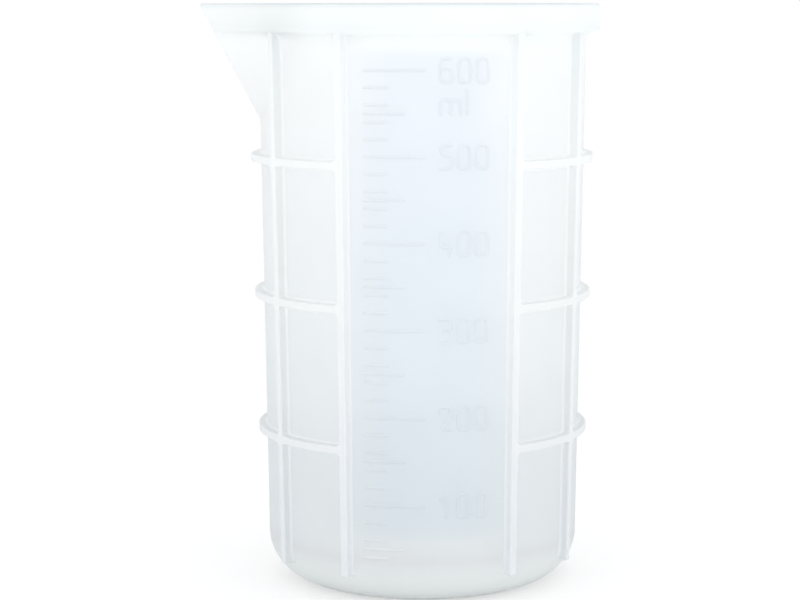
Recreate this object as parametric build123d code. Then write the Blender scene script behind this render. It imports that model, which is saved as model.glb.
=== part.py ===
from build123d import *
import os
from math import acos, cos, pi, sin

# A resin mixing cup, one moulding in milky silicone rubber, as its moulded features.
# Millimetres and degrees. The origin is the centre of the underside, +Z is up,
# the pouring spout points along -X and the volume scale faces -Y.
# Bearings run from -Y towards +X, so the spout is at bearing -90.

# Cup body
cup_height = 148.0
wall_foot_radius = 39.85
wall_rim_radius = 41.85
wall_thickness = 2.2
floor_thickness = 3.0
base_edge_radius = 12.0
rim_rounding = 0.8
rim_flats = 4

# Collar round the rim
collar_depth = 3.35
collar_height = 6.2
collar_cove_overlap = 0.15

# Pouring spout
spout_overhang = 14.9
spout_drop = 30.0
spout_tip_radius = 4.0
spout_seat_depth = 0.3

# Upright ribs
rib_width = 2.0
rib_foot_depth = 1.9
rib_rim_depth = 2.9
rib_foot_height = 7.4
rib_rounding = 0.45
rib_root_depth = 1.0
rib_bearings = {
    "front_left_rib": -30.0,
    "front_right_rib": 30.0,
    "left_front_rib": -60.0,
    "right_front_rib": 60.0,
    "left_rear_rib": -120.0,
    "right_rear_rib": 120.0,
    "rear_left_rib": -150.0,
    "rear_right_rib": 150.0,
}

# Hoops between the ribs, in levels up the ribbed length
hoop_thickness = 2.0
hoop_rounding = 0.45
hoop_level_shares = {"lower": 0.245, "middle": 0.512, "upper": 0.779}
hoop_spans = {
    "front_left": (-60.0, -30.0),
    "front_right": (30.0, 60.0),
    "left": (-120.0, -60.0),
    "right": (60.0, 120.0),
    "rear_left": (-150.0, -120.0),
    "rear_right": (120.0, 150.0),
}

# Volume scale on the front panel, in raised strokes
scale_relief = 0.4
stroke_width = 0.7
long_mark_length = 15.0
middle_mark_length = 10.0
short_mark_length = 6.0
mark_start = -16.0
numeral_start = 2.5
numeral_height = 5.6
numeral_width = 2.7
numeral_gap = 1.7
scale_step_ml = 20.0
numbered_step_ml = 100.0
half_step_ml = 50.0
lowest_mark_ml = 40.0
scale_headroom = 2.5
unit_lift = 7.5
corner_share = 0.42
sharp_corner_share = 0.15

# How far a cutting tool runs past what it cuts
overrun = 5.0
ml = 1000.0

# Strokes of each character, as shares of its width and height
character_shares = {
    "0": [[(0.0, 0.0), (1.0, 0.0), (1.0, 1.0), (0.0, 1.0), (0.0, 0.0)]],
    "1": [[(0.1, 0.78), (0.6, 1.0), (0.6, 0.0)]],
    "2": [[(0.0, 0.75), (0.0, 1.0), (1.0, 1.0), (1.0, 0.55), (0.0, 0.0), (1.0, 0.0)]],
    "3": [
        [(0.0, 1.0), (1.0, 1.0), (1.0, 0.53), (0.35, 0.53)],
        [(0.35, 0.53), (1.0, 0.53), (1.0, 0.0), (0.0, 0.0)],
    ],
    "4": [[(0.1, 1.0), (0.0, 0.35), (1.05, 0.35)], [(0.8, 0.65), (0.8, 0.0)]],
    "5": [[(0.95, 1.0), (0.05, 1.0), (0.05, 0.57), (1.0, 0.57), (1.0, 0.0), (0.0, 0.0)]],
    "6": [
        [(0.9, 1.0), (0.0, 1.0), (0.0, 0.3)],
        [(0.0, 0.0), (1.0, 0.0), (1.0, 0.57), (0.0, 0.57), (0.0, 0.0)],
    ],
    "7": [[(0.0, 1.0), (1.0, 1.0), (0.3, 0.0)]],
    "8": [
        [(0.05, 0.53), (0.95, 0.53), (0.95, 1.0), (0.05, 1.0), (0.05, 0.53)],
        [(0.0, 0.0), (1.0, 0.0), (1.0, 0.53), (0.0, 0.53), (0.0, 0.0)],
    ],
    "9": [
        [(0.1, 0.0), (1.0, 0.0), (1.0, 0.7)],
        [(0.0, 0.43), (1.0, 0.43), (1.0, 1.0), (0.0, 1.0), (0.0, 0.43)],
    ],
    "m": [
        [(0.0, 0.0), (0.0, 0.6), (0.9, 0.6), (0.9, 0.0)],
        [(0.9, 0.3), (0.9, 0.6), (1.8, 0.6), (1.8, 0.0)],
    ],
    "l": [[(0.75, 1.0), (0.75, 0.0)]],
}


def wall_radius(z):
    """Outside of the plain wall at height z."""
    return wall_foot_radius + (wall_rim_radius - wall_foot_radius) * z / cup_height


def cavity_radius(z):
    """Inside of the wall at height z."""
    return wall_radius(z) - wall_thickness


def rib_tip_radius(z):
    """Outer edge of the ribs and hoops at height z."""
    depth = rib_foot_depth + (rib_rim_depth - rib_foot_depth) * z / cup_height
    return wall_radius(z) + depth


# Levels and radii that follow from the sizes above
collar_radius = wall_rim_radius + collar_depth
collar_under = cup_height - collar_height
cove_radius = collar_radius - wall_radius(collar_under - collar_depth) + collar_cove_overlap
collar_foot = collar_under - cove_radius
inner_edge_radius = base_edge_radius - floor_thickness
floor_radius = wall_radius(base_edge_radius) - base_edge_radius
spout_foot = cup_height - spout_drop
rib_length = collar_foot - rib_foot_height
scale_top = collar_foot - scale_headroom


def turned(outline):
    """The solid that a closed outline in the XZ plane sweeps round the cup's axis."""
    return revolve(Plane.XZ * make_face(outline), axis=Axis.Z)


def quarter_arc(start, end, centre, radius):
    """The rounding from start to end about a centre."""
    side_x = (start[0] + end[0]) / 2 - centre[0]
    side_z = (start[1] + end[1]) / 2 - centre[1]
    length = (side_x**2 + side_z**2) ** 0.5
    middle = (centre[0] + side_x * radius / length, centre[1] + side_z * radius / length)
    return ThreePointArc(start, middle, end)


def make_outer_body():
    """Everything inside the plain outer wall, filled in, with the rounded base edge."""
    side = wall_radius(base_edge_radius)
    edge_centre = (floor_radius, base_edge_radius)
    outline = [
        Line((0, 0), (floor_radius, 0)),
        quarter_arc((floor_radius, 0), (side, base_edge_radius), edge_centre, base_edge_radius),
        Line((side, base_edge_radius), (wall_rim_radius, cup_height)),
        Line((wall_rim_radius, cup_height), (0, cup_height)),
        Line((0, cup_height), (0, 0)),
    ]
    return turned(outline)


def make_floor():
    """The flat round floor that the cup stands on."""
    return Pos(0, 0, floor_thickness / 2) * Cylinder(floor_radius, floor_thickness)


def make_base_edge():
    """The rounded edge between the floor and the wall."""
    side = wall_radius(base_edge_radius)
    inner_side = cavity_radius(base_edge_radius)
    inner_start = inner_side - inner_edge_radius
    outer_centre = (floor_radius, base_edge_radius)
    inner_centre = (inner_start, base_edge_radius)
    outline = [
        Line((floor_radius, floor_thickness), (floor_radius, 0)),
        quarter_arc((floor_radius, 0), (side, base_edge_radius), outer_centre, base_edge_radius),
        Line((side, base_edge_radius), (inner_side, base_edge_radius)),
        quarter_arc(
            (inner_side, base_edge_radius),
            (inner_start, floor_thickness),
            inner_centre,
            inner_edge_radius,
        ),
        Line((inner_start, floor_thickness), (floor_radius, floor_thickness)),
    ]
    return turned(outline)


def make_wall_ring():
    """The tapered wall above the base edge, with its inner rim edge rounded."""
    inner_rim = cavity_radius(cup_height)
    start = (inner_rim, cup_height - rim_rounding)
    end = (inner_rim + rim_rounding, cup_height)
    centre = (inner_rim + rim_rounding, cup_height - rim_rounding)
    outline = [
        Line((cavity_radius(base_edge_radius), base_edge_radius), start),
        quarter_arc(start, end, centre, rim_rounding),
        Line(end, (wall_rim_radius, cup_height)),
        Line((wall_rim_radius, cup_height), (wall_radius(base_edge_radius), base_edge_radius)),
        Line(
            (wall_radius(base_edge_radius), base_edge_radius),
            (cavity_radius(base_edge_radius), base_edge_radius),
        ),
    ]
    return turned(outline)


def make_collar_body():
    """The thick collar with its rounded rim and hollow underside, filled in to the axis."""
    rim_start = (collar_radius - rim_rounding, cup_height)
    rim_end = (collar_radius, cup_height - rim_rounding)
    rim_centre = (collar_radius - rim_rounding, cup_height - rim_rounding)
    cove_end = (collar_radius - cove_radius, collar_foot)
    cove_centre = (collar_radius, collar_foot)
    outline = [
        Line((0, cup_height), rim_start),
        quarter_arc(rim_start, rim_end, rim_centre, rim_rounding),
        Line(rim_end, (collar_radius, collar_under)),
        quarter_arc((collar_radius, collar_under), cove_end, cove_centre, cove_radius),
        Line(cove_end, (0, collar_foot)),
        Line((0, collar_foot), (0, cup_height)),
    ]
    return turned(outline)


def ridge_reach(z):
    """How far the outer ridge of the spout stands from the axis at height z."""
    foot_reach = wall_radius(spout_foot) - spout_seat_depth
    rim_reach = wall_rim_radius + spout_overhang
    return foot_reach + (rim_reach - foot_reach) * (z - spout_foot) / spout_drop


def spout_outline(z, round_radius, inset):
    """A level cut through the spout: a round of the given radius and the spout's tip, joined
    by the two straight lines that touch both. inset moves it in by the wall's thickness."""
    tip_radius = spout_tip_radius - inset
    tip_centre = ridge_reach(z) - spout_tip_radius
    turn = acos((round_radius - tip_radius) / tip_centre)
    on_round = Vector(-round_radius * cos(turn), round_radius * sin(turn), z)
    on_tip = Vector(-tip_centre - tip_radius * cos(turn), tip_radius * sin(turn), z)
    mirrored_round = Vector(on_round.X, -on_round.Y, z)
    mirrored_tip = Vector(on_tip.X, -on_tip.Y, z)
    edges = [
        Line(on_round, on_tip),
        ThreePointArc(on_tip, Vector(-tip_centre - tip_radius, 0, z), mirrored_tip),
        Line(mirrored_tip, mirrored_round),
        ThreePointArc(mirrored_round, Vector(round_radius, 0, z), on_round),
    ]
    return make_face(edges)


def rim_levels():
    """Heights up the rounding of the rim, each with how far the rounding has drawn in."""
    for step in range(rim_flats + 1):
        turn = pi / 2 * step / rim_flats
        height = cup_height - rim_rounding + rim_rounding * sin(turn)
        yield height, rim_rounding * (1 - cos(turn))


def make_spout_body():
    """The outside of the spout, filled in: below the collar its sides run out of the wall,
    and above it they run out of the collar."""
    foot_round = ridge_reach(spout_foot) - spout_seat_depth
    lower_sections = [
        spout_outline(spout_foot, foot_round, 0),
        spout_outline(collar_under, wall_radius(collar_under) - spout_seat_depth, 0),
    ]
    collar_round = collar_radius - spout_seat_depth
    upper_sections = [spout_outline(collar_under, collar_round, 0)]
    for z, drawn_in in rim_levels():
        upper_sections.append(spout_outline(z, collar_round - drawn_in, drawn_in))
    return loft(lower_sections, ruled=True) + loft(upper_sections, ruled=True)


def make_channel():
    """The pouring channel, cut through the wall and the collar and out over the rim."""
    inset = wall_thickness
    foot_round = ridge_reach(spout_foot) - spout_seat_depth - inset
    sections = [spout_outline(spout_foot, foot_round, inset)]
    for z, drawn_in in rim_levels():
        rim_round = cavity_radius(z) - spout_seat_depth + drawn_in
        sections.append(spout_outline(z, rim_round, inset - drawn_in))
    sections.append(spout_outline(cup_height + overrun, rim_round, inset - drawn_in))
    return loft(sections, ruled=True)


def make_rib_slab(bearing):
    """One rib's full section, from inside the wall to its rounded outer edge."""
    sections = []
    for z in (rib_foot_height, collar_under + collar_height / 2):
        inner = cavity_radius(z) - rib_root_depth
        outer = rib_tip_radius(z)
        half = rib_width / 2
        shoulder = outer - rib_rounding
        edges = [
            Line((-half, -inner, z), (-half, -shoulder, z)),
            RadiusArc((-half, -shoulder, z), (-half + rib_rounding, -outer, z), -rib_rounding),
            Line((-half + rib_rounding, -outer, z), (half - rib_rounding, -outer, z)),
            RadiusArc((half - rib_rounding, -outer, z), (half, -shoulder, z), -rib_rounding),
            Line((half, -shoulder, z), (half, -inner, z)),
            Line((half, -inner, z), (-half, -inner, z)),
        ]
        sections.append(make_face(edges))
    return Rot(0, 0, bearing) * loft(sections, ruled=True)


def make_hoop(level_share, span):
    """One hoop between two ribs' middles, from inside the wall to its rounded outer edge."""
    first, last = span
    z = rib_foot_height + rib_length * level_share
    inner = cavity_radius(z)
    outer = rib_tip_radius(z)
    half = hoop_thickness / 2
    profile = Pos((inner + outer) / 2, z) * Rectangle(outer - inner, hoop_thickness)
    corners = profile.vertices().group_by(Axis.X)[-1]
    profile = fillet(corners, min(hoop_rounding, half / 2))
    ring = revolve(Plane.XZ * profile, axis=Axis.Z, revolution_arc=last - first)
    return Rot(0, 0, first - 90.0) * ring


def volume_below(z):
    """What the cup holds up to height z, in cubic millimetres."""
    depth = z - floor_thickness
    low, high = cavity_radius(floor_thickness), cavity_radius(z)
    cone = pi * depth * (low**2 + low * high + high**2) / 3
    corner_area = (1 - pi / 4) * inner_edge_radius**2
    return cone - 2 * pi * (low - inner_edge_radius / 4) * corner_area


def level_of(millilitres):
    """The height that a volume fills the cup to, found by stepping to it."""
    z = cup_height / 2
    for _ in range(8):
        z += (millilitres * ml - volume_below(z)) / (pi * cavity_radius(z) ** 2)
    return z


def relief_skin():
    """The thin layer over the plain wall that the scale's strokes stand up to."""
    low, high = base_edge_radius, collar_foot
    outline = [
        Line((wall_radius(low), low), (wall_radius(high), high)),
        Line((wall_radius(high), high), (wall_radius(high) + scale_relief, high)),
        Line((wall_radius(high) + scale_relief, high), (wall_radius(low) + scale_relief, low)),
        Line((wall_radius(low) + scale_relief, low), (wall_radius(low), low)),
    ]
    return turned(outline)


def raised(flat_shape, skin):
    """A flat drawing, in X and height, stood up on the front of the wall."""
    block = extrude(Plane.XZ * flat_shape, amount=wall_rim_radius + overrun)
    return block & skin


def mark_shape(length, z):
    """One level line of the scale."""
    return Pos(mark_start + length / 2, z) * Rectangle(length, stroke_width)


def character_shape(character, left, low):
    """One character drawn with a pen of the stroke's width."""
    strokes = []
    for points in character_shares[character]:
        places = [(left + x * numeral_width, low + y * numeral_height) for x, y in points]
        closed = places[0] == places[-1]
        corners = places[:-1] if closed else places[1:-1]
        before = [places[-2]] + places if closed else places
        after = places[1:] if closed else places[2:]
        radii = [corner_radius(*trio) for trio in zip(before, corners, after)]
        path = FilletPolyline(*places, radius=radii) if radii else Line(*places)
        strokes.append(trace(path, stroke_width))
    shape = strokes[0]
    for stroke in strokes[1:]:
        shape = shape + stroke
    return shape


def corner_radius(before, corner, after):
    """The rounding of a pen stroke's corner: square corners are round, others nearly sharp."""
    square = before[0] == corner[0] or before[1] == corner[1]
    square = square and (corner[0] == after[0] or corner[1] == after[1])
    return numeral_width * (corner_share if square else sharp_corner_share)


def text_shapes(text, left, low):
    """A row of characters, left to right."""
    pitch = numeral_width + numeral_gap
    return [character_shape(c, left + i * pitch, low) for i, c in enumerate(text)]


def make_scale():
    """The marks, numerals and unit, each a group of raised solids."""
    skin = relief_skin()
    groups = {"scale_long_marks": [], "scale_short_marks": [], "scale_numerals": []}
    amount = lowest_mark_ml
    highest_numbered = lowest_mark_ml
    while level_of(amount) + numeral_height / 2 < scale_top:
        z = level_of(amount)
        if amount % numbered_step_ml == 0:
            groups["scale_long_marks"].append(raised(mark_shape(long_mark_length, z), skin))
            for shape in text_shapes(f"{amount:.0f}", numeral_start, z - numeral_height / 2):
                groups["scale_numerals"].append(raised(shape, skin))
            highest_numbered = amount
        else:
            groups["scale_short_marks"].append(raised(mark_shape(short_mark_length, z), skin))
        amount += scale_step_ml
    amount = half_step_ml
    while level_of(amount) + numeral_height / 2 < scale_top:
        if amount % numbered_step_ml != 0:
            mark = mark_shape(middle_mark_length, level_of(amount))
            groups["scale_long_marks"].append(raised(mark, skin))
        amount += half_step_ml
    unit_low = level_of(highest_numbered) - numeral_height / 2 - unit_lift
    unit = [raised(shape, skin) for shape in text_shapes("ml", numeral_start, unit_low)]
    groups["scale_unit"] = unit
    return groups


def as_solids(shape):
    """The solids of a shape or of a list of shapes."""
    if isinstance(shape, (list, tuple)):
        return [solid for item in shape for solid in as_solids(item)]
    return list(shape.solids())


def save(name, shape):
    """Writes one sub-part as its own STEP file and says what it is."""
    solids = as_solids(shape)
    whole = solids[0] if len(solids) == 1 else Compound(children=solids)
    whole.label = name
    export_step(whole, os.path.join("parts", name + ".step"))
    volume = sum(solid.volume for solid in solids)
    print(f"{name}: {len(solids)} solid(s), {volume:.1f} mm3")


def main():
    os.makedirs("parts", exist_ok=True)
    outer_body = make_outer_body()
    collar_body = make_collar_body()
    channel = make_channel()
    spout_body = make_spout_body()
    collar_disc = Pos(0, 0, cup_height) * Cylinder(collar_radius, 2 * collar_height)
    spout = spout_body - outer_body - collar_body - collar_disc - channel

    save("cup_floor", make_floor())
    save("rounded_base_edge", make_base_edge())
    save("cup_wall", make_wall_ring() - channel)
    save("rim_collar", collar_body - outer_body - channel)
    save("pouring_spout", spout)

    slabs = {name: make_rib_slab(bearing) for name, bearing in rib_bearings.items()}
    for name, slab in slabs.items():
        save(name, slab - outer_body - collar_body - spout_body)

    for level, level_share in hoop_level_shares.items():
        for side, span in hoop_spans.items():
            hoop = make_hoop(level_share, span) - outer_body
            for bearing in span:
                rib = next(n for n, b in rib_bearings.items() if b == bearing)
                hoop = hoop - slabs[rib]
            save(f"{level}_{side}_hoop", hoop)

    for name, shapes in make_scale().items():
        save(name, shapes)


main()
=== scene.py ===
# %% [markdown]
# # A resin mixing cup in milky silicone rubber
#
# The real cup is one moulding. Liquid rubber fills the gap between an outer mould and a core,
# and every rib, hoop and raised mark began as a groove in the outer mould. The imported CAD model
# gives the sizes and the places. This script dresses it: each feature becomes a smooth surface
# with the small roundings that a mould leaves, and the rubber lets light in, as silicone does.

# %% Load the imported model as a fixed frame
from math import cos, pi, radians, sin

import bpy
import numpy as np
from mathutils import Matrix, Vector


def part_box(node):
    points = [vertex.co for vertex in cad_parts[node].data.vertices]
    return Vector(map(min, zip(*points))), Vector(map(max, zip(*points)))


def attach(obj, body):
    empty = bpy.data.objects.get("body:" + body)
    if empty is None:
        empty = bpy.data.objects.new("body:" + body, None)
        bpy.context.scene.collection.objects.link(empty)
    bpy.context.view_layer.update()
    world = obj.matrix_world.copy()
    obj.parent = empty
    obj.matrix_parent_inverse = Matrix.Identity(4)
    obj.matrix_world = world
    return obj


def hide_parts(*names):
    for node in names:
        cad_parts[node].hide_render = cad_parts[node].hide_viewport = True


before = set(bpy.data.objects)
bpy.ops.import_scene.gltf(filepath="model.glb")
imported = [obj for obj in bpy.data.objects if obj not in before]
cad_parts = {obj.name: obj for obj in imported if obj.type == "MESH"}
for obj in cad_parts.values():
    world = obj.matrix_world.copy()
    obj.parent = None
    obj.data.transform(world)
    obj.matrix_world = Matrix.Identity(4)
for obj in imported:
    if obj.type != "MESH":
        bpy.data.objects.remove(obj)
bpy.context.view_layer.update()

# %% [markdown]
# ## Sizes
#
# The shapes below are worked out in millimetres, the unit that a mould maker thinks in, and
# turned to metres only when a mesh is made. Most sizes are read from the boxes of the CAD nodes,
# so the surfaces follow the CAD model. Only what a box can't tell is typed: the wall's
# thickness, the roundings and the places round the cup.

# %% Sizes in millimetres
MM = 0.001  # metres
ML = 1000.0  # cubic millimetres


def corners_mm(node):
    """The lowest and the highest corner of a CAD node."""
    low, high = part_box(node)
    return np.array(low) / MM, np.array(high) / MM


rim_radius, _, cup_height = corners_mm("cup_wall")[1]
edge_radius, _, edge_top = corners_mm("rounded_base_edge")[1]
floor_radius, _, floor_thickness = corners_mm("cup_floor")[1]
collar_radius = corners_mm("rim_collar")[1][0]
collar_foot = corners_mm("rim_collar")[0][2]
rib_foot = corners_mm("front_left_rib")[0][2]

wall_thickness = 2.2
rim_rounding = 0.8
collar_edge_rounding = 1.0
spout_drop = 30.0
spout_overhang = 14.9
spout_tip_radius = 4.0
spout_seat_depth = 0.3  # how far inside the wall the spout's foot starts
spout_foot = cup_height - spout_drop
print(f"cup {cup_height:.1f} high, rim radius {rim_radius:.2f}, collar radius {collar_radius:.2f}")

# %% [markdown]
# ## The skin of the cup as one formula
#
# Seen from above, the cup is a round, and from the foot of the spout upwards it is a teardrop:
# the round, a small round for the tip, and the two straight lines that touch both. A lathe
# can't make that, and joining a spout on afterwards leaves a seam. So the distance of the skin
# from the axis is written as one formula of the angle and the height, and every piece of the
# body below is cut from that same skin.

# %% The wall's taper and the spout's ridge


def wall_radius(z):
    """Outside of the plain wall: a straight taper from the top of the base edge to the rim."""
    rise = (z - edge_top) / (cup_height - edge_top)
    return edge_radius + (rim_radius - edge_radius) * rise


def ridge_reach(z):
    """Distance of the spout's outer ridge from the axis: a straight line from just inside the
    wall at the spout's foot to its full overhang at the rim."""
    foot_reach = wall_radius(spout_foot) - spout_seat_depth
    rim_reach = rim_radius + spout_overhang
    return foot_reach + (rim_reach - foot_reach) * (z - spout_foot) / spout_drop


def spout_half_angle(z):
    """The angle, from the spout's middle, at which its sides leave the wall's round. Its cosine
    is the difference of the two radii over the distance of the tip's centre."""
    share = (wall_radius(z) - spout_tip_radius) / (ridge_reach(z) - spout_tip_radius)
    return np.arccos(np.clip(share, -1.0, 1.0)) * (z > spout_foot)


def teardrop_radius(angle, round_radius, tip_radius, z):
    """Distance of the skin from the axis. Outside the spout it is the round's radius. On a
    straight side it is that radius over the cosine of the angle from where the side touches
    the round. On the tip it solves the triangle of the tip's centre and radius."""
    turn = np.abs((angle % (2 * pi)) - pi)
    tip_place = ridge_reach(z) - spout_tip_radius
    reaches = tip_place + tip_radius > round_radius
    lean = np.arccos(np.clip((round_radius - tip_radius) / tip_place, -1.0, 1.0))
    side = round_radius / np.maximum(np.cos(turn - lean), 0.01)  # never nought where unused
    room = np.maximum(tip_radius**2 - (tip_place * np.sin(turn)) ** 2, 0.0)
    tip = tip_place * np.cos(turn) + np.sqrt(room)
    tip_turn = np.arctan2(tip_radius * np.sin(lean), tip_place + tip_radius * np.cos(lean))
    shape = np.where(turn < tip_turn, tip, side)
    return np.where(reaches & (turn < lean), shape, round_radius)


# The spout starts where its ridge comes through the wall. Both are straight lines in z.
wall_rate = wall_radius(1.0) - wall_radius(0.0)
ridge_rate = ridge_reach(1.0) - ridge_reach(0.0)
spout_start = (wall_radius(0.0) - ridge_reach(0.0)) / (ridge_rate - wall_rate)
print(f"the spout leaves the wall at {spout_start:.1f} mm and spreads to",
      f"{np.degrees(spout_half_angle(cup_height)):.0f} degrees each side at the rim")

# %% [markdown]
# ## Profiles and skins
#
# A profile is the line that a mould maker draws from the side: rows of round radius, tip radius
# and height, with the direction of travel at each row. A skin carries a profile round the cup.
# Its normals come from the formula itself and not from its faces, so two pieces that meet on
# one skin shade as one, and no seam shows between them, as on the moulded cup.

# %% Profiles


def line_profile(start, end, shares):
    """A straight profile. start and end are (round radius, tip radius, height), and shares says
    how far along the line each row lies."""
    start, end = np.array(start, float), np.array(end, float)
    rate = (end - start) / np.linalg.norm(end - start)
    rows = start + (end - start) * np.asarray(shares)[:, None]
    return np.hstack([rows, np.tile(rate, (len(rows), 1))])


def arc_profile(centre, radius, first, last, rows, tip_follows=True):
    """A profile that turns about a centre (round radius, tip radius, height) from one angle to
    another, in degrees: cosine along the radius and sine along the height. The tip's radius
    changes with the round's where tip_follows says so."""
    turn = np.radians(np.linspace(first, last, rows))
    way = 1.0 if last > first else -1.0
    out, up = np.cos(turn), np.sin(turn)
    tip = float(tip_follows)
    places = [centre[0] + radius * out, centre[1] + radius * out * tip, centre[2] + radius * up]
    rates = [-way * up, -way * up * tip, way * out]
    return np.stack(places + rates, axis=1)


# %% Skins
SMALL = 0.001  # the small change for a normal: radians round the cup, mm along a profile
POLE_RADIUS = 0.05  # mm, where the normal at a pole is taken


def skin_points(angle, profile, step=0.0):
    """Points of the skin, step millimetres further along the profile."""
    round_radius, tip_radius, z = (
        profile[:, k, None] + step * profile[:, k + 3, None] for k in range(3))
    reach = teardrop_radius(angle, np.maximum(round_radius, 0.0), tip_radius, z)
    return np.stack([reach * np.cos(angle), reach * np.sin(angle), z + 0.0 * angle], axis=-1)


def unit(vectors):
    """The same directions with a length of one."""
    return vectors / np.maximum(np.linalg.norm(vectors, axis=-1, keepdims=True), 1e-12)


def skin(angle, profile):
    """Points and normals of the skin. A normal is the cross product of the small change with
    the angle and the small change along the profile."""
    near_axis = profile.copy()
    near_axis[:, 0] = np.maximum(near_axis[:, 0], POLE_RADIUS)
    across = skin_points(angle + SMALL, near_axis) - skin_points(angle - SMALL, near_axis)
    along = skin_points(angle, near_axis, SMALL) - skin_points(angle, near_axis, -SMALL)
    return skin_points(angle, profile), unit(np.cross(across, along))


def sheet(points):
    """The same pair for any grid of points. The changes are taken between neighbours."""
    across = np.gradient(points, axis=1)
    along = np.gradient(points, axis=0)
    return points, unit(np.cross(across, along))


# %% [markdown]
# ## From sheets to a closed piece
#
# Each piece is a few sheets that meet at its edges. Corners that share a place become one
# vertex, faces that have shrunk to a line at a pole are dropped, and every corner of every face
# keeps the normal of its own sheet, so an edge between two sheets stays crisp. The count of
# edges that don't have exactly two faces is printed, and it should be nought: a closed piece
# can be cut, weighed and printed.
#
# Two millimetres of milky rubber hold back little light, and the photograph shows no dark edges
# beside the ribs and hoops. So they cast no shade here, which stands in for the light that goes
# through them. The body and the raised marks do.

# %% One mesh from several sheets
MERGE = 1e-5  # mm, far under any real gap


def add_object(name, data):
    """Puts an object with the given data into the scene."""
    added = bpy.data.objects.new(name, data)
    bpy.context.scene.collection.objects.link(added)
    return added


def print_measures(name, places, corners, loops, starts, sizes):
    """Prints a piece's faces, volume and open edges. The volume is a sixth of a sum over the two
    triangles of each face: one corner dotted with the cross product of the other two."""
    following = np.arange(len(loops)) + 1
    following[starts + sizes - 1] = starts
    pairs = np.sort(np.stack([loops, loops[following]], axis=1), axis=1)
    uses = np.unique(pairs, axis=0, return_counts=True)[1]
    a, b, c, d = (places[corners[:, k]] for k in range(4))
    volume = (np.einsum("ij,ij->", a, np.cross(b, c)) + np.einsum("ij,ij->", a, np.cross(c, d))) / 6
    print(f"{name}: {len(sizes)} faces, {volume / ML:.2f} ml of rubber,",
          f"{int((uses != 2).sum())} open edges")


def make_piece(name, sheets, nodes, material, casts_shade=False):
    """Makes a named piece from sheets of (points, normals), in millimetres. Neighbouring rows
    and columns give four-sided faces, numbered as whole arrays. Without casts_shade, lamps and
    bounced light reach its neighbours as if it weren't there."""
    faces, normals, places, first = [], [], [], 0
    for points, directions in sheets:
        rows, columns = points.shape[:2]
        number = first + np.arange(rows * columns).reshape(rows, columns)
        quads = [number[:-1, :-1], number[:-1, 1:], number[1:, 1:], number[1:, :-1]]
        faces.append(np.stack(quads, axis=-1).reshape(-1, 4))
        places.append(points.reshape(-1, 3))
        normals.append(directions.reshape(-1, 3))
        first += rows * columns
    faces, places, normals = map(np.concatenate, (faces, places, normals))
    _, kept, shared = np.unique(
        np.round(places / MERGE).astype(np.int64), axis=0, return_index=True, return_inverse=True
    )
    places = places[kept]
    corners = shared.reshape(-1)[faces]
    real = corners != np.roll(corners, -1, axis=1)
    whole = real.sum(axis=1) > 2
    faces, corners, real = faces[whole], corners[whole], real[whole]
    loops, sizes = corners[real], real.sum(axis=1)
    starts = np.cumsum(sizes) - sizes

    mesh = bpy.data.meshes.new(name)
    mesh.vertices.add(len(places))
    mesh.vertices.foreach_set("co", (places * MM).astype(np.float32).ravel())
    mesh.loops.add(len(loops))
    mesh.loops.foreach_set("vertex_index", loops.astype(np.int32))
    mesh.polygons.add(len(sizes))
    mesh.polygons.foreach_set("loop_start", starts.astype(np.int32))
    mesh.update(calc_edges=True)
    mesh.shade_smooth()
    mesh.normals_split_custom_set(normals[faces[real]].tolist())

    piece = add_object(name, mesh)
    mesh.materials.append(material)
    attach(piece, "root")
    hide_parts(*nodes)
    piece.visible_shadow = piece.visible_diffuse = casts_shade
    print_measures(name, places, corners, loops, starts, sizes)
    return piece


# %% [markdown]
# ## Finish: milky silicone
#
# Silicone rubber as it comes from a clear or milky batch is cloudy: light goes a few
# millimetres in, turns blue-white on the way and comes out softly. It could be made with
# subsurface scattering, but that treats every piece as a body of its own and darkens it where
# it is joined to the next. Here a diffuse rubber with a satin skin is mixed with a shader that
# passes light through to the far side, so thin walls glow wherever light is behind them.
#
# Colours are given in sRGB hex, as a colour picker shows them.

# %% Colours and nodes


def linear(hex_colour):
    """An sRGB hex colour as linear red, green, blue and a full alpha."""
    parts = [int(hex_colour[k : k + 2], 16) / 255 for k in (1, 3, 5)]
    return [p / 12.92 if p <= 0.04045 else ((p + 0.055) / 1.055) ** 2.4 for p in parts] + [1.0]


def add_node(tree, kind, settings=None, inputs=None):
    """Adds a node. settings are its attributes. inputs are values, or sockets to link."""
    added = tree.nodes.new(kind)
    for name, value in (settings or {}).items():
        setattr(added, name, value)
    for name, value in (inputs or {}).items():
        if isinstance(value, bpy.types.NodeSocket):
            tree.links.new(value, added.inputs[name])
        else:
            added.inputs[name].default_value = value
    return added


# %% The rubber's tint and painted shade by height
CLOUD_MM = 14.0  # size of the faint clouds in the milk
CLOUD_RANGE = (0.3, 0.7)  # the stretch of the noise that shows
CLOUD_DARKEST = 0.985  # what the darkest cloud multiplies the colour by
GRAIN_MM = 0.9  # the mould's satin blast is finer, and drawn this coarse so that it shows
GRAIN_STRENGTH = 0.12
GRAIN_DEPTH_MM = 0.08
SILICONE_IOR = 1.41
SATIN = 0.45  # roughness of rubber from a blasted mould
COLLAR_CHANGE = (-1.0, 2.0)  # mm from the collar's foot, where the share of passed light changes


def shade_by_height(tree, height, tints_and_painted_shades):
    """A colour for each height in metres, from rows of (height in mm, colour), foot first. The rows
    hold the rubber's tint with light and shade painted in.
    """
    rise = add_node(tree, "ShaderNodeMapRange", inputs={0: height, 1: 0.0, 2: cup_height * MM})
    ramp = add_node(tree, "ShaderNodeValToRGB", inputs={0: rise.outputs[0]})
    ramp.color_ramp.interpolation = "CARDINAL"
    while len(ramp.color_ramp.elements) < len(tints_and_painted_shades):
        ramp.color_ramp.elements.new(0.5)
    for stop, (level, colour) in zip(ramp.color_ramp.elements, tints_and_painted_shades):
        stop.position, stop.color = level / cup_height, linear(colour)
    return ramp.outputs[0]
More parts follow.
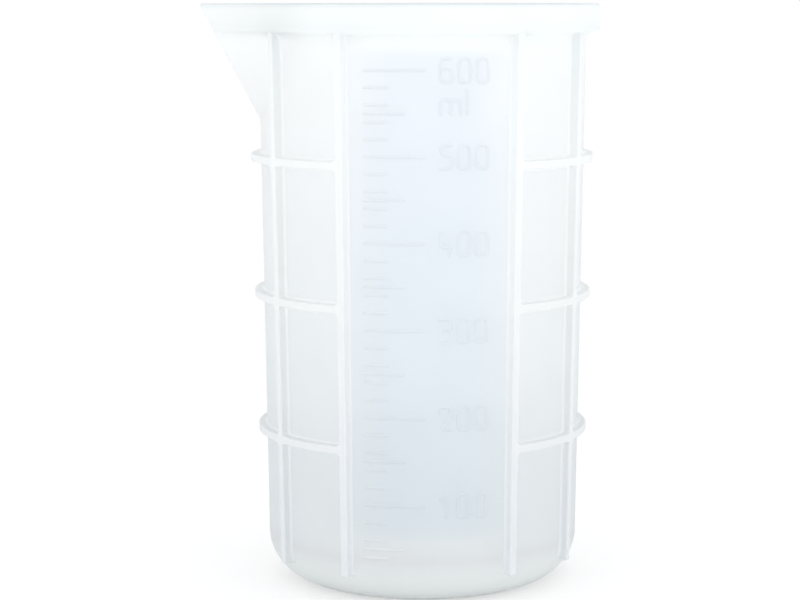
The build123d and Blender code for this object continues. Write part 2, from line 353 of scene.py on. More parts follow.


# %% [markdown]
# The front panel is painted bluer than the rest of the cup, most in its middle: the blue of light
# that has come through the cup's full width, painted into the colour. The rear panel is taken to
# be like it. The corners are rounded, as the mould's flares leave them.

# %% The panels' painted blue as a share
panel_half = (22.0, 61.5, 0.0)  # half of a panel's width round the wall, and of its height
panel_centre_height = 77.0
panel_corner = 6.0
panel_edge = 3.0  # how softly the panel's edge fades
panel_foot, panel_full = 14.0, 22.5  # heights between which it fades in above the base edge
panel_side_turn, panel_middle_turn = 0.52, 0.2  # radians from the panel's middle
panel_side_share = 0.45  # the tint at a panel's side against its middle


def panel_share(tree, place, height):
    """How much of the painted blue a spot takes: one in the middle of the front and the rear
    panel and nought outside. The edge is a rounded rectangle: the length of what lies past its
    straight parts, across and upwards."""

    def vector(operation, *values):
        """One vector operation."""
        inputs = dict(enumerate(values))
        return add_node(tree, "ShaderNodeVectorMath", {"operation": operation}, inputs)

    def share(value, low, high, least=0.0):
        """Runs smoothly from least at low to one at high."""
        return add_node(tree, "ShaderNodeMapRange", {"interpolation_type": "SMOOTHSTEP"},
                        {0: value, 1: low, 2: high, 3: least, 4: 1.0}).outputs[0]

    def product(first, second):
        """Two shares multiplied."""
        return add_node(tree, "ShaderNodeMath", {"operation": "MULTIPLY"},
                        {0: first, 1: second}).outputs[0]

    folded = vector("ABSOLUTE", place).outputs[0]
    sides = add_node(tree, "ShaderNodeSeparateXYZ", inputs={0: folded}).outputs
    bearing = add_node(tree, "ShaderNodeMath", {"operation": "ARCTAN2"},
                       {0: sides["X"], 1: sides["Y"]}).outputs[0]
    spot = add_node(tree, "ShaderNodeCombineXYZ", inputs={0: bearing, 1: height}).outputs[0]
    to_mm, to_centre = (edge_radius, 1 / MM, 0.0), (0.0, -panel_centre_height, 0.0)
    from_centre = vector("ABSOLUTE", vector("MULTIPLY_ADD", spot, to_mm, to_centre).outputs[0])
    straight_half = tuple(max(half - panel_corner, 0.0) for half in panel_half)
    past = vector("SUBTRACT", from_centre.outputs[0], straight_half).outputs[0]
    length = vector("LENGTH", vector("MAXIMUM", past, (0.0, 0.0, 0.0)).outputs[0]).outputs["Value"]
    inside = share(length, panel_corner, panel_corner - panel_edge)
    middle = share(bearing, panel_side_turn, panel_middle_turn, panel_side_share)
    above = share(height, panel_foot * MM, panel_full * MM)
    return product(product(inside, above), middle)


# %% The silicone material


def milky_silicone(name, tints_and_painted_shades, passes, panel=None):
    """Milky silicone. tints_and_painted_shades are (height in mm, colour) from the foot up: the
    rubber's tint with painted shade, darker where less light reaches it and lighter where more
    does. passes is the share of light that goes through, on the plain wall and behind the
    collar. panel multiplies the colour by a painted blue in the thin front and rear panels, the
    colour of light come through the cup, most in their middle."""
    material = bpy.data.materials.new(name)
    material.use_nodes = True
    tree = material.node_tree
    tree.nodes.clear()
    place = add_node(tree, "ShaderNodeTexCoord").outputs["Object"]
    height = add_node(tree, "ShaderNodeSeparateXYZ", inputs={0: place}).outputs["Z"]

    def multiply(share, colour, other):
        """The colour multiplied by another one, in part."""
        return add_node(tree, "ShaderNodeMix", {"data_type": "RGBA", "blend_type": "MULTIPLY"},
                        {0: share, 6: colour, 7: other}).outputs[2]

    # Light and shade by height, painted into the colour.
    colour = shade_by_height(tree, height, tints_and_painted_shades)
    # The panels take a painted blue, the colour of light come through the cup.
    if panel:
        colour = multiply(panel_share(tree, place, height), colour, linear(panel))
    clouds = add_node(tree, "ShaderNodeTexNoise", inputs={
        "Vector": place, "Scale": 1 / (CLOUD_MM * MM), "Detail": 2.0})
    cloud = add_node(tree, "ShaderNodeMapRange", inputs={
        0: clouds.outputs["Fac"], 1: CLOUD_RANGE[0], 2: CLOUD_RANGE[1], 3: CLOUD_DARKEST, 4: 1.0})
    colour = multiply(1.0, colour, cloud.outputs[0])

    grain = add_node(tree, "ShaderNodeTexNoise", inputs={
        "Vector": place, "Scale": 1 / (GRAIN_MM * MM), "Detail": 3.0})
    bump = add_node(tree, "ShaderNodeBump", inputs={
        "Height": grain.outputs["Fac"], "Strength": GRAIN_STRENGTH,
        "Distance": GRAIN_DEPTH_MM * MM})
    rubber = add_node(tree, "ShaderNodeBsdfPrincipled", inputs={
        "Base Color": colour, "Roughness": SATIN, "IOR": SILICONE_IOR, "Normal": bump.outputs[0]})
    through = add_node(tree, "ShaderNodeBsdfTranslucent", inputs={
        "Color": colour, "Normal": bump.outputs[0]})
    change_start, change_end = ((collar_foot + change) * MM for change in COLLAR_CHANGE)
    open_share = add_node(tree, "ShaderNodeMapRange", inputs={
        0: height, 1: change_start, 2: change_end, 3: passes[0], 4: passes[1]})
    mixed = add_node(tree, "ShaderNodeMixShader", inputs={
        0: open_share.outputs[0], 1: rubber.outputs[0], 2: through.outputs[0]})
    add_node(tree, "ShaderNodeOutputMaterial", inputs={"Surface": mixed.outputs[0]})
    return material


# %% [markdown]
# One rubber, three finishes. The wall's colour has light and shade painted in: nearly white at
# the rim, where light comes in at the mouth, greyer lower down, where less gets in, lighter
# again at the foot, painted light on the base edge's rounding, and a thin darker line of painted
# shade along the rim's top. It is for the collar too, so that no seam shows where the spout runs
# out of it.

# %% Three finishes
# Painted light and shade by height over the rubber's pale tint. The last row paints a thin line of
# shade along the rim's top.
wall_tint_and_painted_shade = [
    (0.0, "#F9FCFB"), (11.0, "#F1F4F5"), (26.0, "#EDF1F2"), (60.0, "#F4F7F8"), (100.0, "#F8FAFB"),
    (136.0, "#FBFCFC"), (142.0, "#F9FBFB"), (147.3, "#F9FBFB"), (148.0, "#E4E8EB"),
]
# Painted shade by height over the rubber's tint: greyer than the wall, darker towards the foot, and
# darkest in the top row at the rim.
rib_tint_and_painted_shade = [
    (0.0, "#E2E6E8"), (26.0, "#E3E6E8"), (60.0, "#E9EBEC"), (100.0, "#EEF0F0"),
    (136.0, "#EEF1F2"), (142.0, "#EBEEEF"), (147.3, "#EBEEEF"), (148.0, "#D9DEE2"),
]
wall_passes, thick_passes = (0.35, 0.55), (0.25, 0.27)
# A painted blue: the colour of light that has come through the cup, laid on the panels.
painted_through_light_blue = "#F8FBFF"
# Thin rubber from a satin mould: pale, soft, and glowing where light is behind it.
thin_silicone = milky_silicone(
    "milky_silicone_thin_moulded_wall", wall_tint_and_painted_shade, wall_passes, painted_through_light_blue)
# The same rubber in a rib, less open, and painted greyer and darker towards the foot: painted shade
# that stands in for the shade the ribs and hoops no longer cast on themselves.
thick_silicone = milky_silicone("milky_silicone_moulded_rib", rib_tint_and_painted_shade, thick_passes)
# The wall's rubber raised as marks, which show by their shape alone.
mark_silicone = milky_silicone("milky_silicone_raised_mark", wall_tint_and_painted_shade, wall_passes, painted_through_light_blue)
print("finishes:", [finish.name for finish in (thin_silicone, thick_silicone, mark_silicone)])

# %% [markdown]
# ## Body pieces
#
# Floor, base edge, wall, collar and spout are rings: an outer profile that goes up and an inner
# profile that comes down, with a strip across the top and another across the bottom. The wall
# and the collar leave a gap for the spout, so their two ends are closed as well. The floor is
# flat, and a wide quarter round joins it to the wall, so that a stirring stick reaches all of
# the resin.

# %% A ring with or without a gap
ROUND_COLUMNS = 241  # one every degree and a half round the cup
ROUNDING_ROWS = 8  # along a small rounding of a quarter turn
# Where each kind of ring starts and ends, as angles for an array of heights.
full_turn = (lambda z: 0.0 * z + pi, lambda z: 0.0 * z + 3 * pi)
past_spout = (lambda z: pi + spout_half_angle(z), lambda z: 3 * pi - spout_half_angle(z))
in_spout = (lambda z: pi - spout_half_angle(z), lambda z: pi + spout_half_angle(z))
round_columns = np.linspace(0.0, 1.0, ROUND_COLUMNS)


def ring_sheets(outer, inner, ends, columns):
    """Sheets of a ring. Each row of a profile runs between two angles that depend on its
    height, and columns says how far between them each point lies."""
    start, end = ends
    skins = []
    for profile in (outer, inner):
        z = profile[:, 2, None]
        skins.append(skin(start(z) + (end(z) - start(z)) * columns, profile))
    (out, _), (back, _) = skins
    sheets = skins + [sheet(np.stack([out[-1], back[0]])), sheet(np.stack([back[-1], out[0]]))]
    if ends is not full_turn:  # the two ends, from where the spout starts
        gap = outer[:, 2] > spout_start - MERGE
        near, far = out[gap], back[::-1][gap]
        sheets.append(sheet(np.stack([far[:, 0], near[:, 0]], axis=1)))
        sheets.append(sheet(np.stack([near[:, -1], far[:, -1]], axis=1)))
    return sheets


# %% Floor and rounded base edge
even = np.linspace(0.0, 1.0, 25)  # shares of a line
under_floor = line_profile((0, 0, 0), (floor_radius, 0, 0), even[::4])
over_floor = line_profile((floor_radius, 0, floor_thickness), (0, 0, floor_thickness), even[::4])
make_piece("moulded_floor", ring_sheets(under_floor, over_floor, full_turn, round_columns),
           ["cup_floor"], thin_silicone, casts_shade=True)

inner_side = edge_radius - wall_thickness
inner_edge_radius = edge_top - floor_thickness
outer_edge = arc_profile(
    (floor_radius, 0, edge_top), edge_radius - floor_radius, -90, 0, len(even))
inner_edge = arc_profile(
    (inner_side - inner_edge_radius, 0, edge_top), inner_edge_radius, 0, -90, len(even) - 1)
edge_end = line_profile(
    (floor_radius + 1, 0, floor_thickness), (floor_radius, 0, floor_thickness), [1.0])
make_piece("moulded_base_edge",
           ring_sheets(outer_edge, np.vstack([inner_edge, edge_end]), full_turn, round_columns),
           ["rounded_base_edge"], thin_silicone, casts_shade=True)

# %% [markdown]
# The wall is straight outside and inside. Its rows crowd together where the spout begins,
# because the gap for the spout opens there as fast as a square root. The inner edge of the rim
# is rounded, so that the last drop lets go of it.

# %% Wall
inner_tip = spout_tip_radius - wall_thickness
rim_start = cup_height - rim_rounding
quarter = np.linspace(0.0, pi / 2, ROUNDING_ROWS)
plain_rows, crowded_rows = 12, 41
crowded = np.linspace(0, 1, crowded_rows) ** 2  # shares of a height, closest where they start
wall_heights = np.concatenate([
    np.linspace(edge_top, spout_start, plain_rows)[:-1],
    spout_start + (rim_start - spout_start) * crowded,
    rim_start + rim_rounding * np.sin(quarter)[1:],
])


def outer_wall(z):
    """Round radius, tip radius and height of the plain wall's outside."""
    return wall_radius(z), spout_tip_radius, z


wall_shares = (wall_heights - edge_top) / (cup_height - edge_top)
wall_outer = line_profile(outer_wall(edge_top), outer_wall(cup_height), wall_shares)
cavity_top = wall_radius(rim_start) - wall_thickness
cavity_foot = wall_radius(edge_top) - wall_thickness
inner_rounding = arc_profile(
    (cavity_top + rim_rounding, inner_tip + rim_rounding, rim_start), rim_rounding,
    90, 180, ROUNDING_ROWS)


def inside_profile(outer_heights):
    """The body's inside from the rim's rounding down, with a row at each of the outside's
    heights below that rounding."""
    shares = (rim_start - outer_heights[::-1]) / (rim_start - edge_top)
    top, foot = (cavity_top, inner_tip, rim_start), (cavity_foot, inner_tip, edge_top)
    return np.vstack([inner_rounding[:-1], line_profile(top, foot, shares)])


wall_inner = inside_profile(wall_heights[wall_heights <= rim_start + MERGE])
make_piece("moulded_wall", ring_sheets(wall_outer, wall_inner, past_spout, round_columns),
           ["cup_wall"], thin_silicone, casts_shade=True)

# %% [markdown]
# The collar stiffens the mouth. Its underside grows out of the wall in a hollow, slopes out and
# turns up in a rounding, as an S. The hollow and the rounding end at the same slope, so the
# straight piece between them takes up what is left of the collar's depth.

# %% Collar
collar_hollow_radius = 1.5
underside_slope = 78.0  # degrees from upright
hollow_rows, edge_rows = 12, 10
slope_out, slope_up = sin(radians(underside_slope)), cos(radians(underside_slope))
hollow_centre = wall_radius(collar_foot) + collar_hollow_radius
cove = arc_profile(
    (hollow_centre, spout_tip_radius, collar_foot), collar_hollow_radius,
    180, 180 - underside_slope, hollow_rows, tip_follows=False)
straight = (collar_radius - cove[-1, 0] - collar_edge_rounding * (1 - slope_up)) / slope_out
edge_height = cove[-1, 2] + straight * slope_up + collar_edge_rounding * slope_out
collar_edge = arc_profile(
    (collar_radius - collar_edge_rounding, spout_tip_radius, edge_height), collar_edge_rounding,
    -underside_slope, 0, edge_rows, tip_follows=False)
collar_face = line_profile(
    (collar_radius, spout_tip_radius, edge_height),
    (collar_radius, spout_tip_radius, rim_start), even[::4])
outer_rounding = arc_profile(
    (collar_radius - rim_rounding, spout_tip_radius - rim_rounding, rim_start), rim_rounding,
    0, 90, ROUNDING_ROWS)
collar_outer = np.vstack([cove, collar_edge, collar_face[1:], outer_rounding[1:]])
print(f"the collar's face starts at {edge_height:.1f} mm")


def hidden_wall(outer):
    """The plain wall's outside, from the top down, at the heights of another profile."""
    shares = (cup_height - outer[::-1, 2]) / (cup_height - edge_top)
    return line_profile(outer_wall(cup_height), outer_wall(edge_top), shares)


collar = make_piece(
    "moulded_rim_collar",
    ring_sheets(collar_outer, hidden_wall(collar_outer), past_spout, round_columns),
    ["rim_collar"], thin_silicone, casts_shade=True)
collar.visible_shadow = False  # lamp light goes on through the collar's 3 mm of milky rubber

# %% [markdown]
# The spout is the part of wall and collar that leaves the round and comes to a rounded tip, so
# that the resin runs off in one thin stream. It has the same profiles as they have, so it meets
# them without a step. Its columns crowd together at the tip, which turns most.

# %% Pouring spout
TIP_COLUMNS = 97
TIP_CROWDING = 1.6  # the power that draws the columns to the tip
under_collar = spout_start + (collar_foot - spout_start) * crowded[:-1]
spout_shares = (under_collar - edge_top) / (cup_height - edge_top)
spout_side = line_profile(outer_wall(edge_top), outer_wall(cup_height), spout_shares)
spout_outer = np.vstack([spout_side, collar_outer])
spout_inner = inside_profile(spout_outer[: 1 - ROUNDING_ROWS, 2])
across = np.linspace(-1.0, 1.0, TIP_COLUMNS)
tip_columns = (1 + np.sign(across) * np.abs(across) ** TIP_CROWDING) / 2
make_piece("moulded_pouring_spout", ring_sheets(spout_outer, spout_inner, in_spout, tip_columns),
           ["pouring_spout"], thin_silicone, casts_shade=True)

# %% [markdown]
# ## Ribs
#
# Eight upright ribs keep the soft wall straight. A bevelled box would stand off the round wall
# at its foot, so each is a section carried up the wall at the wall's own radius: a flare at each
# foot where the mould's groove was eased, two sides and a rounded edge. The flares widen just
# under the collar, which rounds the upper corners of the panels between the ribs.

# %% Rib sizes
rib_width = 2.0
rib_foot_depth = 1.9
rib_rim_depth = 2.9
rib_edge_rounding = 0.45
rib_end_rounding = 0.5
flare = 0.8
corner_flare = 2.8  # how much wider the flare gets under the collar
corner_lift = 0.6  # and how much higher
corner_drop = 3.0  # how far below the collar the widening starts
corner_rise = 1.2  # and how far above the collar's foot it ends
rib_end_in_collar = 0.5
sink = 0.4  # how far the hidden back lies inside the wall
rib_bearings = {
    "front_left_rib": -30.0, "front_right_rib": 30.0,
    "left_front_rib": -60.0, "right_front_rib": 60.0,
    "left_rear_rib": -120.0, "right_rear_rib": 120.0,
    "rear_left_rib": -150.0, "rear_right_rib": 150.0,
}
bite = 0.03  # a flare ends this far inside the wall, so that no edge stands up
RIB_ROWS, RIB_END_ROWS = 60, 12
fine_quarter = np.linspace(0.0, pi / 2, 13)


def rib_tip_radius(z):
    """Outer edge of the ribs and hoops: the wall and a depth that grows steadily up the cup."""
    return wall_radius(z) + rib_foot_depth + (rib_rim_depth - rib_foot_depth) * z / cup_height


def body_radius(angle, z):
    """Outside of the body under the collar: the teardrop above the base edge, and below it the
    base edge's quarter round."""
    drop = np.clip(edge_top - z, 0.0, edge_top)
    rounded_in = edge_top - np.sqrt(edge_top**2 - drop**2)
    plain = teardrop_radius(angle, wall_radius(np.maximum(z, edge_top)), spout_tip_radius, z)
    return plain - rounded_in


# %% A rib


def rib_sheets(bearing):
    """Sheets of one rib. Across, the section runs from one flare over the edge to the other
    flare: a quarter ellipse out of the wall, a straight side, a quarter round, and the same
    back. Upwards it follows the wall, and its lower end is drawn in by a quarter round."""
    angle = radians(bearing - 90.0)
    corner_top = collar_foot + corner_rise
    end_heights = rib_foot + rib_end_rounding * (1 - np.cos(quarter))
    z = np.concatenate([
        end_heights,
        np.linspace(end_heights[-1], corner_top - corner_drop, RIB_ROWS)[1:],
        corner_top - corner_drop * np.cos(fine_quarter)[1:],
        np.linspace(corner_top, edge_height + rib_end_in_collar, RIB_END_ROWS)[1:],
    ])
    drawn_in = np.zeros(len(z))
    drawn_in[: len(quarter)] = rib_end_rounding * (1 - np.sin(quarter))
    z, drawn_in = z[:, None], drawn_in[:, None]
    near_collar = np.clip((z - corner_top) / corner_drop + 1.0, 0.0, 1.0)
    spread = flare + corner_flare * (1 - np.sqrt(1 - near_collar**2))
    lift = flare + corner_lift * (spread - flare) / corner_flare
    half = rib_width / 2 - drawn_in
    tip = rib_tip_radius(z) - drawn_in

    def flank(side):
        """Distances across and from the axis, for one flare and one rounded corner."""
        foot_across = half + spread * (1 - np.sin(fine_quarter))
        wall = body_radius(angle + side * foot_across / wall_radius(z), z)
        foot_out = wall - bite + lift * (1 - np.cos(fine_quarter))
        edge_across = half - rib_edge_rounding * (1 - np.cos(quarter))
        edge_out = tip - rib_edge_rounding * (1 - np.sin(quarter))
        return side * np.hstack([foot_across, edge_across]), np.hstack([foot_out, edge_out])

    left, right = flank(-1), flank(1)
    across = np.hstack([left[0], right[0][:, ::-1]])
    out = np.hstack([left[1], right[1][:, ::-1]])
    back_across = np.hstack([across[:, -1:], across[:, -1:], across[:, :1], across[:, :1]])
    back_out = np.hstack([out[:, -1:], out[:, -1:] - sink, out[:, :1] - sink, out[:, :1]])

    def placed(across, out):
        """Points at distances across, measured round the axis, and out from the axis."""
        turn = angle + across / out
        return np.stack([out * np.cos(turn), out * np.sin(turn), z + 0.0 * across], axis=-1)

    front, back = placed(across, out), placed(back_across, back_out)
    around = np.concatenate([front, back[:, 1:]], axis=1)
    centres = np.repeat(around.mean(axis=1, keepdims=True), around.shape[1], axis=1)
    return [sheet(front), sheet(back), sheet(np.concatenate([centres[:1], around[:1]])),
            sheet(np.concatenate([around[-1:], centres[-1:]]))]


for node, bearing in rib_bearings.items():
    make_piece("moulded_" + node, rib_sheets(bearing), [node], thick_silicone)

# %% [markdown]
# ## Hoops
#
# Hoops keep the wall round. They run level between the ribs and are left out of the front and
# rear panels, which carry or could carry a scale. A turned ring would keep one thickness, so
# each is the rib's section, lying down, that thickens a little where it runs into a rib.

# %% A hoop
hoop_thickness = 2.0
hoop_end_flare = 0.7
hoop_end_length = 1.4  # the stretch beside a rib where the hoop thickens
HOOP_COLUMNS = 33
hoop_spans = {
    "front_left": (-60.0, -30.0), "front_right": (30.0, 60.0),
    "left": (-120.0, -60.0), "right": (60.0, 120.0),
    "rear_left": (-150.0, -120.0), "rear_right": (120.0, 150.0),
}


def hoop_sheets(level, span):
    """Sheets of one hoop. The section goes from the lower flare over the edge to the upper
    flare, and is carried round the wall between the middles of two ribs."""
    first, last = np.radians(np.array(span) - 90.0)
    end = (rib_width / 2 + hoop_end_length) / rib_tip_radius(level)
    angle = np.concatenate([
        first + end * even[::2],
        np.linspace(first + end, last - end, HOOP_COLUMNS)[1:-1],
        last - end + end * even[::2],
    ])
    from_end = np.minimum(angle - first, last - angle) * rib_tip_radius(level) - rib_width / 2
    near_rib = np.clip(1 - from_end / hoop_end_length, 0.0, 1.0)
    half = hoop_thickness / 2 + hoop_end_flare * (1 - np.sqrt(1 - near_rib**2))

    def flank(side):
        """Upward and outward places of one flare and one rounded corner, for each angle."""
        foot_up = half[None] + flare * (1 - np.sin(quarter))[:, None]
        wall = body_radius(angle[None], level + side * foot_up)
        foot_out = wall - bite + flare * (1 - np.cos(quarter))[:, None]
        edge_up = half[None] - rib_edge_rounding * (1 - np.cos(quarter))[:, None]
        tip = rib_tip_radius(level + side * edge_up)
        edge_out = tip - rib_edge_rounding * (1 - np.sin(quarter))[:, None]
        return level + side * np.vstack([foot_up, edge_up]), np.vstack([foot_out, edge_out])

    def placed(up, out):
        """Grid of points for heights and distances from the axis."""
        return np.stack([out * np.cos(angle), out * np.sin(angle), up], axis=-1)

    low, high = flank(-1), flank(1)
    front = placed(np.vstack([low[0], high[0][::-1]]), np.vstack([low[1], high[1][::-1]]))
    back = placed(np.stack([high[0][0], high[0][0], low[0][0], low[0][0]]),
                  np.stack([high[1][0], high[1][0] - sink, low[1][0] - sink, low[1][0]]))
    around = np.concatenate([front, back[1:]], axis=0)
    centres = np.repeat(around.mean(axis=0, keepdims=True), around.shape[0], axis=0)
    return [sheet(front), sheet(back),
            sheet(np.concatenate([centres[:, :1], around[:, :1]], axis=1)),
            sheet(np.concatenate([around[:, -1:], centres[:, -1:]], axis=1))]


for level_name in ("lower", "middle", "upper"):
    for side_name, span in hoop_spans.items():
        node = f"{level_name}_{side_name}_hoop"
        low, high = corners_mm(node)
        make_piece("moulded_" + node, hoop_sheets((low[2] + high[2]) / 2, span), [node],
                   thick_silicone)

# %% [markdown]
# ## The raised scale
#
# The numerals and lines are cut into the mould with a small ball-nosed tool, so on the cup they
# stand up as soft ridges. Text objects would give flat letters with sharp edges. Here each
# stroke is a bell-shaped section carried along the stroke's middle line. The lines stand where
# they read true: the volume under each height is added up from the round inside of the cup,
# without the spout's channel, and the heights are read off backwards. The photograph shows hardly
# anything of a scale, so the ridges are kept low and narrow.

# %% Heights that read true millilitres
heights = np.linspace(floor_thickness, cup_height, 4001)
in_edge = np.clip(edge_top - heights, 0.0, inner_edge_radius)
inside = wall_radius(np.maximum(heights, edge_top)) - wall_thickness
inside = inside - inner_edge_radius + np.sqrt(inner_edge_radius**2 - in_edge**2)
slices = pi * (inside[1:] ** 2 + inside[:-1] ** 2) / 2 * np.diff(heights)
volume = np.concatenate([[0.0], np.cumsum(slices)]) / ML


def height_of(amount):
    """The height in mm that an amount in millilitres fills the cup to."""
    return np.interp(amount, volume, heights)


scale_step, numbered_step, half_step, lowest_mark = 20, 100, 50, 40
scale_top = corners_mm("scale_long_marks")[1][2]
amounts = np.arange(lowest_mark, volume[-1], scale_step).astype(int)
amounts = amounts[height_of(amounts) < scale_top]
numbered = amounts[amounts % numbered_step == 0]
halves = np.arange(half_step, amounts.max(), numbered_step)
print(f"numbered: {numbered}, top line at {height_of(amounts.max()):.2f} mm, CAD {scale_top:.2f}")

# %% Ridges for strokes
ridge_width = 0.8
ridge_relief = 0.15
ridge_start = 0.03  # how far inside the wall the bell starts
ridge_root = 0.2  # and how much deeper its underside lies
stroke_corner = 1.1  # the most that a corner's curve takes off each side
stroke_step = 0.3  # between the points of a stroke
BELL_COLUMNS = 13
# Strokes of each character, in shares of its width and height.
numeral_shares = {
    "0": [[(0, 0), (1, 0), (1, 1), (0, 1), (0, 0)]],
    "1": [[(0.1, 0.78), (0.6, 1), (0.6, 0)]],
    "2": [[(0, 0.75), (0, 1), (1, 1), (1, 0.55), (0, 0), (1, 0)]],
    "3": [[(0, 1), (1, 1), (1, 0.55), (0.3, 0.55)], [(0.55, 0.55), (1, 0.47), (1, 0), (0, 0)]],
    "4": [[(0.1, 1), (0, 0.35), (1.05, 0.35)], [(0.8, 0.65), (0.8, 0)]],
    "5": [[(0.95, 1), (0.05, 1), (0.05, 0.57), (1, 0.57), (1, 0), (0, 0)]],
    "6": [[(0.9, 1), (0, 1), (0, 0.42)], [(0, 0), (1, 0), (1, 0.57), (0, 0.57), (0, 0)]],
    "m": [[(0, 0), (0, 0.6), (0.9, 0.6), (0.9, 0)], [(0.64, 0.6), (1.8, 0.6), (1.8, 0)]],
    "l": [[(0.75, 1), (0.75, 0)]],
}


def pen_line(points):
    """The middle line of a stroke at even spaces. Each corner is a curve that starts and ends
    at most stroke_corner from it: start times (1-s) squared, corner times 2s(1-s), end times s
    squared. A stroke that ends where it starts is begun at the middle of a side, so that all
    its corners are rounded."""
    points = np.array(points, float)
    closed = np.allclose(points[0], points[-1])
    if closed:
        middle = (points[:1] + points[1:2]) / 2
        points = np.vstack([middle, points[1:], middle])
    run = points[:1]
    s = np.linspace(0.0, 1.0, 9)[:, None]
    for before, corner, after in zip(points[:-2], points[1:-1], points[2:]):
        sides = np.linalg.norm([corner - before, after - corner], axis=1)
        cut = min(stroke_corner, sides.min() / 2)
        first = corner + unit(before - corner) * cut
        last = corner + unit(after - corner) * cut
        run = np.vstack([run, first * (1 - s) ** 2 + corner * 2 * s * (1 - s) + last * s**2])
    run = np.vstack([run, points[-1:]])
    steps = np.linalg.norm(np.diff(run, axis=0), axis=1)
    moved = steps > MERGE
    run = run[np.concatenate([[True], moved])]
    along = np.concatenate([[0.0], np.cumsum(steps[moved])])
    even_places = np.linspace(0.0, along[-1], int(along[-1] / stroke_step) + 2)
    return np.stack([np.interp(even_places, along, run[:, k]) for k in (0, 1)], axis=1), closed


def ridge_sheet(points):
    """A closed ridge along a stroke. Across, its height is the relief times the square of a
    sine, a bell. At an open end the section shrinks as a quarter round to a point. Height is
    measured from the wall, and the underside lies inside the wall."""
    line, closed = pen_line(points)
    ahead = unit(np.gradient(line, axis=0))
    size = np.ones(len(line))
    if closed:
        ahead[0] = ahead[-1] = unit(ahead[0] + ahead[-1])
    else:
        reach = ridge_width / 2 * np.sin(quarter)[1:, None]
        line = np.vstack([line[0] - ahead[0] * reach[::-1], line, line[-1] + ahead[-1] * reach])
        ahead = np.pad(ahead, ((len(reach), len(reach)), (0, 0)), mode="edge")
        size = np.concatenate([np.cos(quarter)[:0:-1], size, np.cos(quarter)[1:]])
    turn = np.linspace(0.0, pi, BELL_COLUMNS)
    across = np.concatenate([-np.cos(turn), [1.0, -1.0, -1.0]]) * ridge_width / 2
    bell = np.concatenate([np.sin(turn) ** 2, [0.0, 0.0, 0.0]])
    under = np.concatenate([np.zeros(BELL_COLUMNS), [ridge_root, ridge_root, 0.0]])
    size = size[:, None]
    x = line[:, :1] + ahead[:, 1:] * across * size
    z = line[:, 1:] - ahead[:, :1] * across * size
    height = (ridge_relief + ridge_start) * bell * size - ridge_start - under * size
    y = -np.sqrt((wall_radius(z) + height) ** 2 - x**2)
    return sheet(np.stack([x, y, z], axis=-1))


# %% The scale's four groups
mark_start = -16.0  # across the panel from its middle, as are the numerals' places
mark_end_inset = 0.35  # half of the CAD model's stroke, about what the rounded end adds
long_mark, half_mark, short_mark = 15.0, 10.0, 6.0
numeral_height, numeral_width, numeral_pitch = 5.6, 2.7, 4.4
numeral_start = 2.5
unit_drop = 7.5  # from the top numeral down to the unit


def line_mark(amount, length):
    """A level line of the scale."""
    z = height_of(amount)
    return ridge_sheet([
        (mark_start + mark_end_inset, z), (mark_start + length - mark_end_inset, z)])


def written(text, middle):
    """The ridges of a row of characters, with the height of their middle."""
    ridges, low = [], middle - numeral_height / 2
    for place, character in enumerate(text):
        left = numeral_start + place * numeral_pitch
        for stroke in numeral_shares[character]:
            ridges.append(ridge_sheet([
                (left + x * numeral_width, low + y * numeral_height) for x, y in stroke]))
    return ridges


long_lines = [line_mark(a, long_mark) for a in numbered]
half_lines = [line_mark(a, half_mark) for a in halves]
groups = {
    "scale_long_marks": long_lines + half_lines,
    "scale_short_marks": [line_mark(a, short_mark) for a in amounts if a % numbered_step],
    "scale_numerals": [ridge for a in numbered for ridge in written(str(a), height_of(a))],
    "scale_unit": written("ml", height_of(numbered[-1]) - unit_drop),
}
for node, ridges in groups.items():
    make_piece("moulded_" + node, ridges, [node], mark_silicone, casts_shade=True)

# %% [markdown]
# ## Studio
#
# The photograph is a plain product shot: white all round and very even light. A broad world
# light fills the shade. A large soft lamp on each side, little higher than the cup, shapes the
# ribs and hoops, and a weaker one overhead lightens the rim and the inside. What the camera sees
# behind the cup is white by colour alone, through Light Path, so that no extra light falls on
# the cup. The paper keeps its true shade close to the cup, so that it stands on something, and
# runs out to white.

# %% Floor and world
floor_reach = 2.5  # metres each way
shade_end, white_start = 0.06, 0.25  # metres from the cup's axis
paper_share = 0.5  # of plain white in the paper close to the cup
floor_corners = [(x * floor_reach, y * floor_reach, 0.0)
                 for x, y in ((-1, -1), (1, -1), (1, 1), (-1, 1))]
floor_mesh = bpy.data.meshes.new("studio_floor")
floor_mesh.from_pydata(floor_corners, [], [(0, 1, 2, 3)])
floor = add_object("studio_floor", floor_mesh)


def seen_ray(tree):
    """One for rays that show the background itself: from the camera, a gloss or a clear body."""
    rays = add_node(tree, "ShaderNodeLightPath").outputs
    seen = rays["Is Camera Ray"]
    for other in ("Is Glossy Ray", "Is Transmission Ray"):
        seen = add_node(tree, "ShaderNodeMath", {"operation": "MAXIMUM"},
                        {0: seen, 1: rays[other]}).outputs[0]
    return seen


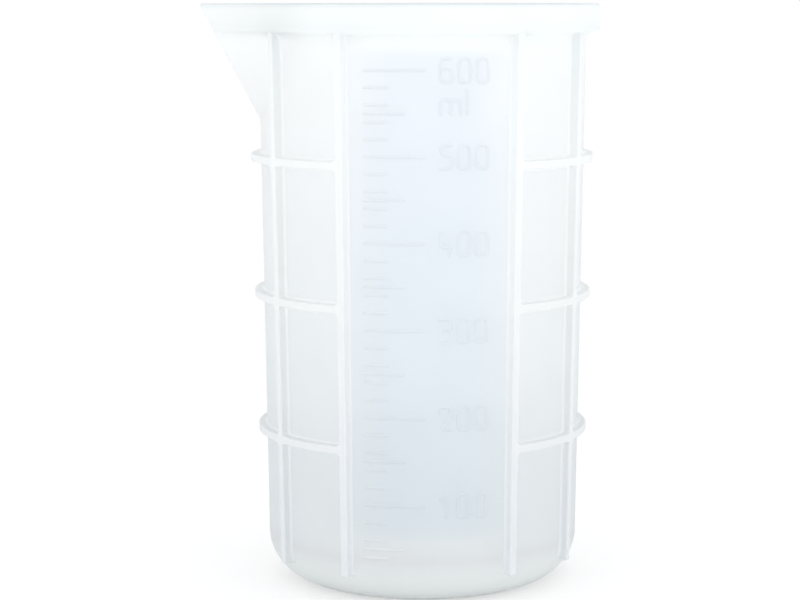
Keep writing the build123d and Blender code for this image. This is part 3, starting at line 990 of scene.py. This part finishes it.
def matt_white_paper():
    """Matt white paper: no gloss, and a soft shade where the cup stands."""
    paper = bpy.data.materials.new("matt_white_paper")
    paper.use_nodes = True
    tree = paper.node_tree
    tree.nodes.clear()
    place = add_node(tree, "ShaderNodeTexCoord").outputs["Object"]
    away = add_node(tree, "ShaderNodeVectorMath", {"operation": "LENGTH"}, {0: place})
    white = add_node(tree, "ShaderNodeMapRange", inputs={
        0: away.outputs["Value"], 1: shade_end, 2: white_start, 3: paper_share, 4: 1.0})
    share = add_node(tree, "ShaderNodeMath", {"operation": "MULTIPLY"},
                     {0: seen_ray(tree), 1: white.outputs[0]})
    matt = add_node(tree, "ShaderNodeBsdfDiffuse", inputs={"Color": linear("#FAFAFA")})
    glow = add_node(tree, "ShaderNodeEmission", inputs={
        "Color": linear("#FFFFFF"), "Strength": 1.0})
    both = add_node(tree, "ShaderNodeMixShader", inputs={
        0: share.outputs[0], 1: matt.outputs[0], 2: glow.outputs[0]})
    add_node(tree, "ShaderNodeOutputMaterial", inputs={"Surface": both.outputs[0]})
    return paper


def white_studio():
    """A world that lights the cup from all round and shows itself as plain white."""
    world = bpy.data.worlds.new("white_studio")
    world.use_nodes = True
    tree = world.node_tree
    tree.nodes.clear()
    plain = add_node(tree, "ShaderNodeBackground", inputs={
        "Color": linear("#FCFDFE"), "Strength": 0.94})
    shown = add_node(tree, "ShaderNodeBackground", inputs={
        "Color": linear("#FFFFFF"), "Strength": 1.0})
    choice = add_node(tree, "ShaderNodeMixShader", inputs={
        0: seen_ray(tree), 1: plain.outputs[0], 2: shown.outputs[0]})
    add_node(tree, "ShaderNodeOutputWorld", inputs={"Surface": choice.outputs[0]})
    return world


floor_mesh.materials.append(matt_white_paper())
bpy.context.scene.world = white_studio()
print("world:", bpy.context.scene.world.name)

# %% Lamps
from mathutils import Vector


def soft_lamp(name, place, width, watts):
    """A square white lamp that faces the middle of the cup."""
    lamp = bpy.data.lights.new(name, "AREA")
    lamp.shape, lamp.size, lamp.energy = "SQUARE", width, watts
    holder = add_object(name, lamp)
    holder.location = place
    aim = Vector((0, 0, cup_height * MM / 2)) - Vector(place)
    holder.rotation_euler = aim.to_track_quat("-Z", "Y").to_euler()
    print(f"{name}: {watts} W, {width} m wide")


soft_lamp("soft_light_from_left", (-0.88, -0.68, 0.26), 1.1, 3.9)
soft_lamp("soft_light_from_right", (0.92, -0.64, 0.25), 1.1, 4.5)
soft_lamp("soft_light_from_above", (0.0, 0.15, 1.1), 0.8, 2.0)

# %% [markdown]
# ## Camera
#
# The photograph was taken from just above the rim, close to the cup, with a long lens. Its place
# was worked out from the heights at which the hoops and the foot appear. The cup stands a little
# right of the middle of the picture, which is a shift of the lens and not a turn.

# %% Camera
camera_distance, camera_height = 0.574, 0.1492  # metres
camera_bearing = radians(-2.5)
camera_drop = 7.69  # degrees below level
picture_width, cup_axis_pixel, focal_pixels = 800, 422.4, 2232.0

lens = bpy.data.cameras.new("product_camera")
lens.sensor_width = 36.0
lens.lens = focal_pixels / picture_width * lens.sensor_width
lens.shift_x = (picture_width / 2 - cup_axis_pixel) / picture_width
lens.clip_start, lens.clip_end = 0.01, 20.0
camera = add_object("product_camera", lens)
camera.location = (
    camera_distance * sin(camera_bearing), -camera_distance * cos(camera_bearing), camera_height)
camera.rotation_euler = (radians(90.0 - camera_drop), 0.0, camera_bearing)
bpy.context.scene.camera = camera
bpy.context.scene.view_settings.view_transform = "Standard"
print(f"lens: {lens.lens:.0f} mm")
